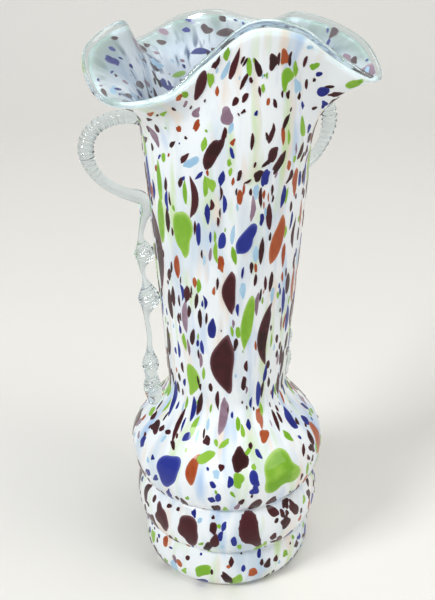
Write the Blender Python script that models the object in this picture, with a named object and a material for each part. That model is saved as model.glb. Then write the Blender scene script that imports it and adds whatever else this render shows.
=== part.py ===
"""A hand blown art glass vase, built up from its separate glass pieces.

An opal lining is the inner vessel. Coloured glass chips lie on it, each in its own pocket of
the clear crystal casing, which wraps the lining and closes over its top edge as the lip. Two
drawn crystal strands are the handles: each makes an open loop at the top of the neck and
runs down it as a pinched trail. Units are metres, +Z is up, and the origin is the centre of
the foot on the surface it stands on.
"""

import math

import bpy
import numpy as np

MM = 0.001

# Foot: a ground ring round the mark where the rod was broken off.
FOOT_RADIUS = 36.5 * MM
PONTIL_RADIUS = 17.0 * MM
PONTIL_RISE = 2.0 * MM
PONTIL_BEND = (0.6, 0.75)  # shares of its radius and of its rise

# Three stacked bulges with two tooled grooves between them.
LOW_BULGE_RADIUS = 45.5 * MM
LOW_BULGE_MIDDLE = 13.0 * MM
LOW_BULGE_HEIGHT = 25.8 * MM
LOWER_GROOVE_RADIUS = 42.0 * MM
MID_BULGE_RADIUS = 49.0 * MM
MID_BULGE_HEIGHT = 29.6 * MM
UPPER_GROOVE_RADIUS = 44.2 * MM
SHOULDER_RADIUS = 51.0 * MM
SHOULDER_RISE = 18.0 * MM

# Waist and the long neck that opens towards the mouth.
WAIST_RADIUS = 30.5 * MM
WAIST_RISE = 37.6 * MM
NECK_LENGTH = 129.0 * MM
MOUTH_RADIUS = 39.8 * MM

# Ruffled rim: azimuth in degrees, then how far the edge reaches beyond the mouth's radius, how
# far it rises above the neck's end, both in millimetres, and the lip's slope in degrees.
RIM_FOLDS = (
    (0, 25, 41, 26),
    (22, 14, 48, 42),
    (45, 8, 50, 62),
    (70, 15, 42, 32),
    (97, 6, 49, 62),
    (116, 14, 45, 42),
    (138, 23, 34, 20),
    (163, 12, 50, 68),
    (188, 25, 41, 28),
    (213, 24, 26, 8),
    (240, 12, 31, 30),
    (258, 3, 46, 66),
    (285, -2, 60, 82),
    (315, 4, 57, 62),
    (335, 15, 42, 36),
    (346, 30, 31, 18),
)

# How far the flare holds its starting and its ending direction, as a share of its chord.
FLARE_REACH = 0.42

# Glass thicknesses. Both layers thin out towards the rim, as the mouth is opened.
CASING_WALL = 2.6 * MM
CASING_WALL_AT_RIM = 1.4 * MM
CASING_FLOOR = 4.0 * MM
LINING_WALL = 1.6 * MM
LINING_WALL_AT_RIM = 1.0 * MM
LIP_WIDTH = 5.0 * MM
RIM_CROWN = 0.4  # height of the rounded rim as a share of the wall there
SEAT_GAP = 0.3 * MM

# Chips lie a little inside the casing's inner face, each in a pocket cut through that face.
CHIP_THICKNESS = 1.0 * MM
CHIP_INSET = 0.5 * MM
CHIP_CROWN = 0.55
CHIP_SHOULDER = 0.93
POCKET_SIDE_GAP = 0.5 * MM
POCKET_ROOF_GAP = 0.4 * MM
POCKET_REACH = 1.0 * MM

# Handle strand: distance of its centre line from the neck's surface, height, half width in
# the handle's own plane, half width across it. All in millimetres; the heights are counted
# from the neck's end, so the handles follow the neck.
HANDLE_AZIMUTHS = {"left_handle": 188.0, "right_handle": 38.0}
STRAND = (
    (-2.5, 9.5, 3.2, 4.6),
    (3.5, 11.6, 3.3, 4.2),
    (12.0, 11.0, 3.3, 4.0),
    (20.0, 7.5, 3.4, 4.0),
    (25.0, 1.5, 3.6, 4.0),
    (26.3, -5.5, 3.7, 3.9),
    (24.3, -13.5, 2.9, 3.2),
    (19.0, -20.5, 2.7, 3.0),
    (11.5, -25.3, 2.8, 3.0),
    (3.6, -28.4, 3.4, 3.2),
    (1.6, -33.5, 3.6, 3.0),
    (3.8, -40.0, 1.9, 2.0),
    (6.0, -49.5, 1.5, 1.6),
    (5.2, -57.2, 5.0, 3.2),
    (7.0, -64.8, 1.7, 1.8),
    (6.5, -72.0, 1.4, 1.5),
    (5.6, -82.2, 5.5, 3.4),
    (7.8, -91.5, 1.6, 1.8),
    (7.7, -103.5, 1.4, 1.5),
    (8.4, -111.5, 1.7, 1.8),
    (8.9, -120.0, 4.2, 3.6),
    (9.2, -127.2, 3.2, 2.6),
    (8.2, -134.0, 4.6, 3.6),
    (3.6, -141.0, 4.0, 3.0),
    (0.4, -146.0, 2.4, 2.4),
)

# Chips: name, azimuth in degrees, height of the middle, length, width (mm) and lean (degrees).
CHIPS = (
    ("chip_maroon_01", 267.0, 135.0, 34.0, 11.0, 0.0),
    ("chip_maroon_02", 303.0, 150.0, 34.0, 6.0, 4.0),
    ("chip_maroon_03", 206.0, 190.0, 44.0, 6.5, -4.0),
    ("chip_maroon_04", 246.0, 41.5, 17.0, 13.0, -10.0),
    ("chip_maroon_05", 225.0, 42.0, 16.0, 9.0, -14.0),
    ("chip_maroon_06", 272.0, 176.0, 24.0, 6.0, 0.0),
    ("chip_cobalt_01", 233.0, 77.0, 20.0, 13.0, 16.0),
    ("chip_cobalt_02", 284.0, 203.0, 17.0, 7.0, 30.0),
    ("chip_green_01", 303.0, 76.0, 22.0, 21.0, -10.0),
    ("chip_green_02", 287.0, 157.0, 30.0, 6.0, 6.0),
    ("chip_green_03", 237.0, 204.0, 24.0, 10.0, 0.0),
    ("chip_amber_01", 309.0, 200.0, 26.0, 7.0, 12.0),
    ("chip_amber_02", 249.0, 81.0, 17.0, 6.0, 8.0),
    ("chip_maroon_07", 90.0, 135.0, 34.0, 10.0, 0.0),
    ("chip_maroon_08", 128.0, 170.0, 34.0, 7.0, 3.0),
    ("chip_maroon_09", 70.0, 205.0, 28.0, 7.0, -6.0),
    ("chip_cobalt_03", 110.0, 76.0, 19.0, 14.0, -14.0),
    ("chip_cobalt_04", 20.0, 160.0, 24.0, 6.0, 0.0),
    ("chip_green_04", 60.0, 77.0, 21.0, 18.0, 12.0),
    ("chip_green_05", 155.0, 200.0, 26.0, 8.0, 0.0),
    ("chip_amber_03", 112.0, 146.0, 24.0, 6.0, 0.0),
    ("chip_amber_04", 345.0, 78.0, 18.0, 9.0, 10.0),
)

COLOURS = {
    "opal": ((0.88, 0.91, 0.94), 0.25),
    "crystal": ((0.86, 0.93, 0.95), 0.03),
    "maroon": ((0.10, 0.008, 0.012), 0.1),
    "cobalt": ((0.01, 0.02, 0.30), 0.1),
    "green": ((0.24, 0.52, 0.06), 0.1),
    "amber": ((0.45, 0.12, 0.03), 0.1),
}

# Fineness of the faceted solids.
COLUMNS = 40
FOOT_ROWS = 4
BULGE_STEPS = 3
SHOULDER_STEPS = 5
NECK_STEPS = 2
FLARE_STEPS = 6
STRAND_STATIONS = 58
STRAND_SIDES = 8
CHIP_SIDES = 8
SLOPE_STEP = 0.5 * MM
SMOOTH_ANGLE = math.radians(40)

LOWER_GROOVE_Z = LOW_BULGE_HEIGHT
UPPER_GROOVE_Z = LOWER_GROOVE_Z + MID_BULGE_HEIGHT
SHOULDER_Z = UPPER_GROOVE_Z + SHOULDER_RISE
WAIST_Z = SHOULDER_Z + WAIST_RISE
NECK_END_Z = WAIST_Z + NECK_LENGTH


def quarter(start, end, steps, widest_first):
    """Points of a quarter ellipse from start to end, without start. The ellipse is upright at
    its widest point, which is the start or the end."""
    turn = np.linspace(0, math.pi / 2, steps + 1)[1:]
    if widest_first:
        across, along = 1 - np.cos(turn), np.sin(turn)
    else:
        across, along = np.sin(turn), 1 - np.cos(turn)
    return np.column_stack(
        (start[0] + (end[0] - start[0]) * across, start[1] + (end[1] - start[1]) * along)
    )


def body_profile():
    """(radius, height) of the outer skin from the foot's centre to the neck's end."""
    middle_of_mid = (LOWER_GROOVE_Z + UPPER_GROOVE_Z) / 2
    lower_groove = (LOWER_GROOVE_RADIUS, LOWER_GROOVE_Z)
    upper_groove = (UPPER_GROOVE_RADIUS, UPPER_GROOVE_Z)
    low_middle = (LOW_BULGE_RADIUS, LOW_BULGE_MIDDLE)
    mid_middle = (MID_BULGE_RADIUS, middle_of_mid)
    shoulder = (SHOULDER_RADIUS, SHOULDER_Z)
    foot = np.array(
        (
            (0, PONTIL_RISE),
            (PONTIL_RADIUS * PONTIL_BEND[0], PONTIL_RISE * PONTIL_BEND[1]),
            (PONTIL_RADIUS, 0),
            (FOOT_RADIUS, 0),
        )
    )
    share = np.linspace(0, 1, SHOULDER_STEPS + 1)[1:]
    swing = (1 + np.cos(math.pi * share)) / 2
    to_waist = np.column_stack(
        (WAIST_RADIUS + (SHOULDER_RADIUS - WAIST_RADIUS) * swing, SHOULDER_Z + WAIST_RISE * share)
    )
    share = np.linspace(0, 1, NECK_STEPS + 1)[1:]
    neck = np.column_stack(
        (WAIST_RADIUS + (MOUTH_RADIUS - WAIST_RADIUS) * share, WAIST_Z + NECK_LENGTH * share)
    )
    return np.vstack(
        (
            foot,
            quarter((FOOT_RADIUS, 0), low_middle, BULGE_STEPS, False),
            quarter(low_middle, lower_groove, BULGE_STEPS, True),
            quarter(lower_groove, mid_middle, BULGE_STEPS, False),
            quarter(mid_middle, upper_groove, BULGE_STEPS, True),
            quarter(upper_groove, shoulder, BULGE_STEPS, False),
            to_waist,
            neck,
        )
    )


def rim_at(azimuths):
    """Rim radius, rim height and lip slope at these azimuths (radians): a smooth closed curve
    through the folds, whose slope at each fold is that between its two neighbours."""
    table = np.array(RIM_FOLDS, float)
    knots = np.concatenate((table[-1:, 0] - 360, table[:, 0], table[:2, 0] + 360))
    values = np.vstack((table[-1:, 1:], table[:, 1:], table[:2, 1:]))
    degrees = np.degrees(azimuths) % 360
    before = np.clip(np.searchsorted(knots, degrees, side="right") - 1, 1, len(knots) - 3)
    slopes = np.zeros_like(values)
    slopes[1:-1] = (values[2:] - values[:-2]) / (knots[2:] - knots[:-2])[:, None]
    slopes[0] = slopes[len(table)]
    slopes[-1] = slopes[2]
    span = knots[before + 1] - knots[before]
    t = ((degrees - knots[before]) / span)[:, None]
    span = span[:, None]
    made = (
        (2 * t**3 - 3 * t**2 + 1) * values[before]
        + (t**3 - 2 * t**2 + t) * span * slopes[before]
        + (3 * t**2 - 2 * t**3) * values[before + 1]
        + (t**3 - t**2) * span * slopes[before + 1]
    )
    reach, rise, lip = made.T
    return MOUTH_RADIUS + reach * MM, NECK_END_Z + rise * MM, np.radians(lip)


def flare_rows(azimuths, shares):
    """(rows, columns, 2) radii and heights of the flare: on each azimuth, a Bezier curve from
    the neck's end to the rim, which leaves along the neck and arrives along the lip."""
    rim_radius, rim_height, lip = rim_at(azimuths)
    start = np.tile((MOUTH_RADIUS, NECK_END_Z), (len(azimuths), 1))
    end = np.column_stack((rim_radius, rim_height))
    length = np.linalg.norm(end - start, axis=1)[:, None]
    neck_way = np.array((MOUTH_RADIUS - WAIST_RADIUS, NECK_LENGTH))
    neck_way /= np.linalg.norm(neck_way)
    lip_way = np.column_stack((np.cos(lip), np.sin(lip)))
    first = start + neck_way * length * FLARE_REACH
    second = end - lip_way * length * FLARE_REACH
    t = np.asarray(shares)[:, None, None]
    return (
        (1 - t) ** 3 * start
        + 3 * t * (1 - t) ** 2 * first
        + 3 * t**2 * (1 - t) * second
        + t**3 * end
    )


AZIMUTHS = np.arange(COLUMNS) * 2 * math.pi / COLUMNS
PROFILE = body_profile()
FLARE_LENGTH = 45 * MM
LINING_TOP_SHARE = 1 - LIP_WIDTH / FLARE_LENGTH
LIP_SHARE = LINING_TOP_SHARE + 2 * SEAT_GAP / FLARE_LENGTH
FLARE_SHARES = np.concatenate(
    (np.linspace(0, LINING_TOP_SHARE, FLARE_STEPS)[1:], (LIP_SHARE, 1.0))
)
ROWS = len(PROFILE) + len(FLARE_SHARES)
LINING_ROWS = ROWS - 2


def skin_grid():
    """(rows, columns, 3) points of the outer skin, from the foot's centre to the rim, and at
    each the step that one unit of wall thickness takes. It lies halfway between square to the
    skin and the upright plane through the axis, which keeps the wall whole in tight folds."""
    body = np.repeat(PROFILE[:, None, :], COLUMNS, axis=1)
    both = np.concatenate((body, flare_rows(AZIMUTHS, FLARE_SHARES)))
    outward = np.column_stack((np.cos(AZIMUTHS), np.sin(AZIMUTHS), np.zeros(COLUMNS)))
    points = both[..., :1] * outward + both[..., 1:] * np.array((0, 0, 1))
    up = np.gradient(points, axis=0)
    around = np.roll(points, -1, axis=1) - np.roll(points, 1, axis=1)
    normals = np.cross(around, up)
    normals[0] = (0, 0, -1)
    normals /= np.linalg.norm(normals, axis=2, keepdims=True)
    way = np.gradient(both, axis=0)
    way /= np.linalg.norm(way, axis=2, keepdims=True)
    steps = normals + way[..., 1:] * outward - way[..., :1] * np.array((0, 0, 1))
    return points, steps / (steps * normals).sum(axis=2, keepdims=True)


def wall_by_row(at_floor, at_body, at_rim):
    """Thickness of a layer on each row: its floor's, then its body's, thinning in the flare."""
    thickness = np.full(ROWS, at_body)
    thickness[:FOOT_ROWS] = at_floor
    easing = np.linspace(1, 0, BULGE_STEPS + 1)[1:]
    thickness[FOOT_ROWS : FOOT_ROWS + BULGE_STEPS] += (at_floor - at_body) * easing
    flare = len(PROFILE)
    thickness[flare:] += (at_rim - at_body) * FLARE_SHARES
    return thickness[:, None, None]


SKIN, STEPS = skin_grid()
CASING = wall_by_row(CASING_FLOOR, CASING_WALL, CASING_WALL_AT_RIM)
LINING = wall_by_row(LINING_WALL, LINING_WALL, LINING_WALL_AT_RIM)


def material(name):
    """The named glass as a Principled material, made once."""
    found = bpy.data.materials.get(name)
    if found:
        return found
    colour, roughness = COLOURS[name]
    made = bpy.data.materials.new(name)
    made.use_nodes = True
    shader = made.node_tree.nodes["Principled BSDF"]
    shader.inputs["Base Color"].default_value = (*colour, 1)
    shader.inputs["Roughness"].default_value = roughness
    shader.inputs["Metallic"].default_value = 0
    shader.inputs["Transmission Weight"].default_value = 0.9 if name == "crystal" else 0
    return made


def solid(name, points, faces, glass):
    """A named object from points and faces, with its own mesh, smooth over its curves."""
    mesh = bpy.data.meshes.new(name)
    mesh.from_pydata(np.asarray(points).tolist(), [], faces)
    mesh.materials.append(material(glass))
    mesh.shade_smooth()
    mesh.set_sharp_from_angle(angle=SMOOTH_ANGLE)
    made = bpy.data.objects.new(name, mesh)
    bpy.context.collection.objects.link(made)
    return made


def hide(helper):
    """Makes an object a cutter only."""
    helper.hide_render = True
    helper.display_type = "WIRE"
    return helper


def cut(target, cutter):
    """Takes cutter out of target with an exact Boolean."""
    modifier = target.modifiers.new("cut_" + cutter.name, "BOOLEAN")
    modifier.operation = "DIFFERENCE"
    modifier.solver = "EXACT"
    modifier.object = cutter


def rings_solid(name, rings, first, last, glass, rising=None):
    """A closed solid through rings of points, with a single point at each end. The rings after
    the first few, which rise, run back down inside: their quads are split along the same
    diagonal as the rising ones, so that layers with matching rings keep an even gap."""
    sides = len(rings[0])
    rising = len(rings) if rising is None else rising
    points = [first]
    for ring in rings:
        points.extend(ring)
    points.append(last)
    faces = []
    for side in range(sides):
        after = (side + 1) % sides
        faces.append((0, 1 + after, 1 + side))
        for ring in range(len(rings) - 1):
            low = 1 + ring * sides
            high = low + sides
            if ring < rising:
                faces.append((low + side, low + after, high + after))
                faces.append((low + side, high + after, high + side))
            else:
                faces.append((low + side, low + after, high + side))
                faces.append((low + after, high + after, high + side))
        top = 1 + (len(rings) - 1) * sides
        faces.append((top + side, top + after, len(points) - 1))
    return solid(name, points, faces, glass)


def layer(name, outer, inner, crown, glass):
    """A vessel wall: outer rings from the floor up, a crown ring over the edge where there is
    one, and inner rings back down. Row 0 of each is the floor's centre."""
    rings = list(outer[1:]) + crown + list(inner[:0:-1])
    return rings_solid(name, rings, outer[0][0], inner[0][0], glass, len(outer) - 1)


def make_lining():
    """The opal vessel, whose top edge stops short of the rim."""
    outer = SKIN - STEPS * (CASING + SEAT_GAP)
    inner = outer - STEPS * LINING
    return layer("opal_lining", outer[:LINING_ROWS], inner[:LINING_ROWS], [], "opal")


def make_casing():
    """The clear vessel round the lining. Above the lining's edge it takes the full wall, and
    its rim is rounded over."""
    full = CASING + SEAT_GAP + LINING
    inner_full = SKIN - STEPS * full
    inner_thin = SKIN - STEPS * CASING
    inner = np.concatenate(
        (inner_thin[:LINING_ROWS], inner_thin[LINING_ROWS : LINING_ROWS + 1],
         inner_full[LINING_ROWS:])
    )
    way = SKIN[-1] - SKIN[-2]
    way /= np.linalg.norm(way, axis=1, keepdims=True)
    crown = (SKIN[-1] + inner_full[-1]) / 2 + way * full[-1] * RIM_CROWN
    return layer("crystal_casing", SKIN, inner, [crown], "crystal")


def smooth_stations(table, count):
    """Points evenly spaced along a Catmull-Rom curve through the rows of a table."""
    knots = np.array(table, float)
    padded = np.vstack((2 * knots[0] - knots[1], knots, 2 * knots[-1] - knots[-2]))
    place = np.linspace(0, len(knots) - 1, count)
    k = np.minimum(place.astype(int), len(knots) - 2)
    t = (place - k)[:, None]
    a, b, c, d = padded[k], padded[k + 1], padded[k + 2], padded[k + 3]
    return (
        2 * b + (c - a) * t + (2 * a - 5 * b + 4 * c - d) * t**2
        + (3 * b - a - 3 * c + d) * t**3
    ) / 2


def skin_radius(height):
    """Radius of the outer skin at a height between the lower bulge and the neck's end. Above
    the neck's end it goes on along the neck's slope."""
    first = FOOT_ROWS + BULGE_STEPS - 1
    slope = (MOUTH_RADIUS - WAIST_RADIUS) / NECK_LENGTH
    above = np.maximum(height - NECK_END_Z, 0)
    heights, radii = PROFILE[first:, 1], PROFILE[first:, 0]
    return np.interp(height, heights, radii) + above * slope


def make_handle(name, azimuth, skin_cutter):
    """One drawn strand, swept in an upright plane through the axis: an elliptical section
    carried square to its centre line, then seated on the neck by a cut."""
    stations = smooth_stations(STRAND, STRAND_STATIONS) * MM
    height = NECK_END_Z + stations[:, 1]
    radius = skin_radius(height) + stations[:, 0]
    centre = np.column_stack((radius, height))
    way = np.gradient(centre, axis=0)
    way /= np.linalg.norm(way, axis=1, keepdims=True)
    side = np.column_stack((way[:, 1], -way[:, 0]))
    turn = np.arange(STRAND_SIDES) * 2 * math.pi / STRAND_SIDES
    in_plane = centre[:, None, :] + (
        side[:, None, :] * (stations[:, 2, None] * np.cos(turn))[..., None]
    )
    across = stations[:, 3, None] * np.sin(turn)
    c, s = math.cos(math.radians(azimuth)), math.sin(math.radians(azimuth))

    def placed(radial, sideways, up):
        return np.stack((radial * c - sideways * s, radial * s + sideways * c, up), -1)

    rings = placed(in_plane[..., 0], across, in_plane[..., 1])
    first = placed(centre[0, 0], 0.0, centre[0, 1])
    last = placed(centre[-1, 0], 0.0, centre[-1, 1])
    strand = rings_solid(name, list(rings), first, last, "crystal")
    cut(strand, skin_cutter)
    return strand


def make_skin_cutter():
    """The space of the whole vase with its seat gap, for seating the handles."""
    grown = SKIN + STEPS * SEAT_GAP
    middle = (0, 0, grown[-1, :, 2].max())
    return hide(rings_solid("skin_cutter", list(grown[1:]), grown[0][0], middle, "crystal"))


def chip_points(azimuth, height, length, width, lean, share, depth):
    """Ring of a chip's outline at a share of its size and a depth under the outer skin."""
    turn = np.arange(CHIP_SIDES) * 2 * math.pi / CHIP_SIDES
    along, aside = share * length / 2 * np.cos(turn), share * width / 2 * np.sin(turn)
    c, s = math.cos(math.radians(lean)), math.sin(math.radians(lean))
    up, over = along * c - aside * s, along * s + aside * c
    z = height + up
    radius = skin_radius(z)
    rise = skin_radius(z + SLOPE_STEP) - skin_radius(z - SLOPE_STEP)
    slope = rise / (2 * SLOPE_STEP)
    tilt = np.sqrt(1 + slope**2)
    inside = radius - depth / tilt
    angle = math.radians(azimuth) + over / radius
    return np.column_stack(
        (inside * np.cos(angle), inside * np.sin(angle), z + depth * slope / tilt)
    )


def chip_solid(name, place, grow, depths, inner_share, glass):
    """A lens of glass that follows the skin. The depths are those of its outer face, its widest
    outline and its inner face, which ends at a share of that outline. grow is a clearance."""
    azimuth, height, length, width, lean = place
    size = (azimuth, height * MM, length * MM + 2 * grow, width * MM + 2 * grow, lean)
    outer, edge, inner = depths
    shares = ((CHIP_CROWN, inner), (inner_share, inner), (1.0, edge))
    shares += ((CHIP_SHOULDER, outer), (CHIP_CROWN, outer))
    rings = [chip_points(*size, share, depth)[::-1] for share, depth in shares]
    first = chip_points(*size, 0.0, inner)[0]
    last = chip_points(*size, 0.0, outer)[0]
    return rings_solid(name, rings, first, last, glass)


def make_chips(casing):
    """Each chip, and its pocket in the casing's inner face."""
    inner = CASING_WALL - CHIP_INSET
    outer = inner - CHIP_THICKNESS
    edge = (outer + inner) / 2
    past = CASING_WALL + POCKET_REACH
    for name, *place in CHIPS:
        glass = name.split("_")[1]
        chip_solid(name, place, 0.0, (outer, edge, inner), CHIP_SHOULDER, glass)
        depths = (outer - POCKET_ROOF_GAP, edge, past)
        cut(casing, hide(chip_solid("pocket_" + name, place, POCKET_SIDE_GAP, depths, 1.0, glass)))


def main():
    for old in list(bpy.data.objects):
        bpy.data.objects.remove(old)
    make_lining()
    casing = make_casing()
    make_chips(casing)
    skin_cutter = make_skin_cutter()
    for name, azimuth in HANDLE_AZIMUTHS.items():
        make_handle(name, azimuth, skin_cutter)


main()
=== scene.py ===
"""Hand blown art glass vase: its looks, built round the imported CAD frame.

The vase is a ruffled vessel of white opal glass with coloured glass chips rolled into it, cased
in clear crystal, with a clear lip and two drawn and pinched crystal handles.
"""

import math

import bpy
import numpy as np
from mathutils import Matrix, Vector


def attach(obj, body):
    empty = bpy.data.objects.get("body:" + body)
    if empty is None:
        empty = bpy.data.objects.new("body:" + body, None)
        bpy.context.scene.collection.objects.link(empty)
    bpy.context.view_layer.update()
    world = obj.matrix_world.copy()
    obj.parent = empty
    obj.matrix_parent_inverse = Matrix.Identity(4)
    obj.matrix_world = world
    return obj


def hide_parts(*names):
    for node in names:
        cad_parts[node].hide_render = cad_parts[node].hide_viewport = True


bl_info = {
    "name": "Art Glass Vase",
    "version": (1, 0, 0),
    "blender": (4, 5, 0),
    "location": "View3D > Sidebar > Vase",
    "description": "Builds a hand blown cased glass vase with crimped handles",
    "category": "Add Mesh",
}

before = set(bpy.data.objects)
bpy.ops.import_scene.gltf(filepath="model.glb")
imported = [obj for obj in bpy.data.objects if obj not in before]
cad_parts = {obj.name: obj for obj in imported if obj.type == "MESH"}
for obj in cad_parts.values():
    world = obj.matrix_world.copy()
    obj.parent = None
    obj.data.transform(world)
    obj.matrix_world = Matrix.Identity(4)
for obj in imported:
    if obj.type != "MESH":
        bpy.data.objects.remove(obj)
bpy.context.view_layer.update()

MM = 0.001
BODY = "root"

# Ruffled rim: azimuth in degrees, then how far the edge reaches beyond the mouth's radius, how
# far it rises above the neck's end, both in millimetres, and the lip's slope in degrees.
RIM_FOLDS = (
    (0, 25, 41, 26),
    (22, 14, 48, 42),
    (45, 8, 50, 62),
    (70, 15, 42, 32),
    (97, 6, 49, 62),
    (116, 14, 45, 42),
    (138, 23, 34, 20),
    (163, 12, 50, 68),
    (188, 25, 41, 28),
    (213, 24, 26, 8),
    (240, 12, 31, 30),
    (258, 3, 46, 66),
    (285, -2, 60, 82),
    (315, 4, 57, 62),
    (335, 15, 42, 36),
    (346, 30, 31, 18),
)

# Handle strand: distance of its centre line from the neck's surface, height from the neck's
# end, half width in the handle's own plane, half width across it, all in millimetres.
STRAND = (
    (-2.5, 9.5, 3.2, 4.6),
    (3.5, 11.6, 3.3, 4.2),
    (12.0, 11.0, 3.3, 4.0),
    (20.0, 7.5, 3.4, 4.0),
    (25.0, 1.5, 3.6, 4.0),
    (26.3, -5.5, 3.7, 3.9),
    (24.3, -13.5, 2.9, 3.2),
    (19.0, -20.5, 2.7, 3.0),
    (11.5, -25.3, 2.8, 3.0),
    (3.6, -28.4, 3.4, 3.2),
    (1.6, -33.5, 3.6, 3.0),
    (3.8, -40.0, 1.9, 2.0),
    (6.0, -49.5, 1.5, 1.6),
    (5.2, -57.2, 5.0, 3.2),
    (7.0, -64.8, 1.7, 1.8),
    (6.5, -72.0, 1.4, 1.5),
    (5.6, -82.2, 5.5, 3.4),
    (7.8, -91.5, 1.6, 1.8),
    (7.7, -103.5, 1.4, 1.5),
    (8.4, -111.5, 1.7, 1.8),
    (8.9, -120.0, 4.2, 3.6),
    (9.2, -127.2, 3.2, 2.6),
    (8.2, -134.0, 4.6, 3.6),
    (3.6, -141.0, 4.0, 3.0),
    (0.4, -146.0, 2.4, 2.4),
)
PINCHED_BEADS = (-57.2, -82.2, -120.0, -134.0)

# The chips that the solid model holds too: azimuth in degrees, height of the middle, length and
# width in millimetres, lean in degrees from the wall's own upright.
LARGE_CHIPS = {
    "maroon": (
        (267, 135, 34, 11, 0), (303, 150, 34, 6, 4), (206, 190, 44, 6.5, -4),
        (246, 41.5, 17, 13, -10), (225, 42, 16, 9, -14), (272, 176, 24, 6, 0),
        (90, 135, 34, 10, 0), (128, 170, 34, 7, 3), (70, 205, 28, 7, -6),
    ),
    "cobalt": (
        (233, 77, 20, 13, 16), (284, 203, 17, 7, 30), (110, 76, 19, 14, -14), (20, 160, 24, 6, 0),
    ),
    "green": (
        (303, 76, 22, 21, -10), (287, 157, 30, 6, 6), (237, 204, 24, 10, 0),
        (60, 77, 21, 18, 12), (155, 200, 26, 8, 0),
    ),
    "amber": (
        (309, 200, 26, 7, 12), (249, 81, 17, 6, 8), (112, 146, 24, 6, 0), (345, 78, 18, 9, 10),
    ),
}

# How many chips of each colour are scattered outside and inside, and the seed of the scatter.
SMALL_CHIPS = {"maroon": 620, "cobalt": 250, "green": 260, "amber": 130, "sky": 80, "mauve": 70}
INNER_CHIPS = {"maroon": 210, "cobalt": 150, "green": 24, "sky": 60, "mauve": 90}
SCATTER_SEED = 11


def sized(name, description, millimetres):
    """A length property with its default in metres."""
    return bpy.props.FloatProperty(
        name=name, description=description, default=millimetres * MM, unit="LENGTH", precision=5
    )


def tinted(name, description, hex_colour):
    """A colour property whose default is an sRGB hex value."""
    return bpy.props.FloatVectorProperty(
        name=name, description=description, default=linear(hex_colour), subtype="COLOR",
        size=3, min=0, max=1,
    )


def linear(hex_colour):
    """An sRGB hex value as linear red, green and blue."""
    channels = [int(hex_colour[i : i + 2], 16) / 255 for i in (1, 3, 5)]
    return tuple(c / 12.92 if c <= 0.04045 else ((c + 0.055) / 1.055) ** 2.4 for c in channels)


class VaseSizes(bpy.types.PropertyGroup):
    """The vessel's driving sizes, the same as the solid model's."""

    foot_radius: sized("Foot radius", "Outer radius of the flat foot ring", 36.5)
    pontil_radius: sized("Pontil radius", "Radius of the hollow where the rod was held", 17.0)
    pontil_rise: sized("Pontil rise", "Depth of that hollow", 2.0)
    low_bulge_radius: sized("Low bulge radius", "Radius of the lowest ring", 45.5)
    low_bulge_middle: sized("Low bulge middle", "Height of the lowest ring's widest line", 13.0)
    low_bulge_height: sized("Low bulge height", "Height of the lower groove", 25.8)
    lower_groove_radius: sized("Lower groove radius", "Radius in the lower groove", 42.0)
    mid_bulge_radius: sized("Middle bulge radius", "Radius of the middle ring", 49.0)
    mid_bulge_height: sized("Middle bulge height", "Height between the two grooves", 29.6)
    upper_groove_radius: sized("Upper groove radius", "Radius in the upper groove", 44.2)
    shoulder_radius: sized("Shoulder radius", "Radius of the widest line", 51.0)
    shoulder_rise: sized("Shoulder rise", "Widest line above the upper groove", 18.0)
    waist_radius: sized("Waist radius", "Radius of the neck's narrowest line", 30.5)
    waist_rise: sized("Waist rise", "Waist above the widest line", 37.6)
    neck_length: sized("Neck length", "Waist to the start of the flare", 129.0)
    mouth_radius: sized("Mouth radius", "Radius where the flare starts", 39.8)
    wall: sized("Wall", "Whole thickness of the wall below the flare", 4.5)
    wall_at_rim: sized("Wall at rim", "Whole thickness of the wall at the rim", 2.7)
    lip_width: sized("Lip width", "Clear glass beyond the opal's edge", 2.2)
    left_azimuth: bpy.props.FloatProperty(
        name="Left handle", description="Azimuth of the left handle in degrees", default=188.0
    )
    right_azimuth: bpy.props.FloatProperty(
        name="Right handle", description="Azimuth of the right handle in degrees", default=38.0
    )


class VaseColours(bpy.types.PropertyGroup):
    """The colours of the glasses and of the floor."""

    opal: tinted("Opal", "White opal gather", "#EBEFF1")
    smoke: tinted("Smoke", "Cooler streaks in the opal", "#C6D3DE")
    maroon: tinted("Maroon", "Aubergine chips, nearly black where thick", "#34050B")
    cobalt: tinted("Cobalt", "Cobalt blue chips", "#14207C")
    green: tinted("Green", "Leaf green chips", "#7FB02F")
    amber: tinted("Amber", "Amber to rust chips", "#A2481E")
    sky: tinted("Sky", "Pale blue chips", "#9FC3DC")
    mauve: tinted("Mauve", "Thin aubergine chips, seen as mauve", "#8E7484")
    crystal: tinted("Crystal", "Clear lip and handles", "#E3ECEE")
    floor: tinted("Floor", "Plain pale floor", "#E9E6E0")


# ---------------------------------------------------------------- shape of the vessel


def quarter(start, end, widest_first, steps=60):
    """Points of a quarter ellipse from start to end without start: radius and height follow
    1 - cos and sin of a turning angle, upright at the ellipse's widest point."""
    turn = np.linspace(0, math.pi / 2, steps + 1)[1:]
    across, along = (1 - np.cos(turn), np.sin(turn)) if widest_first else (
        np.sin(turn), 1 - np.cos(turn)
    )
    return np.column_stack(
        (start[0] + (end[0] - start[0]) * across, start[1] + (end[1] - start[1]) * along)
    )


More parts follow.
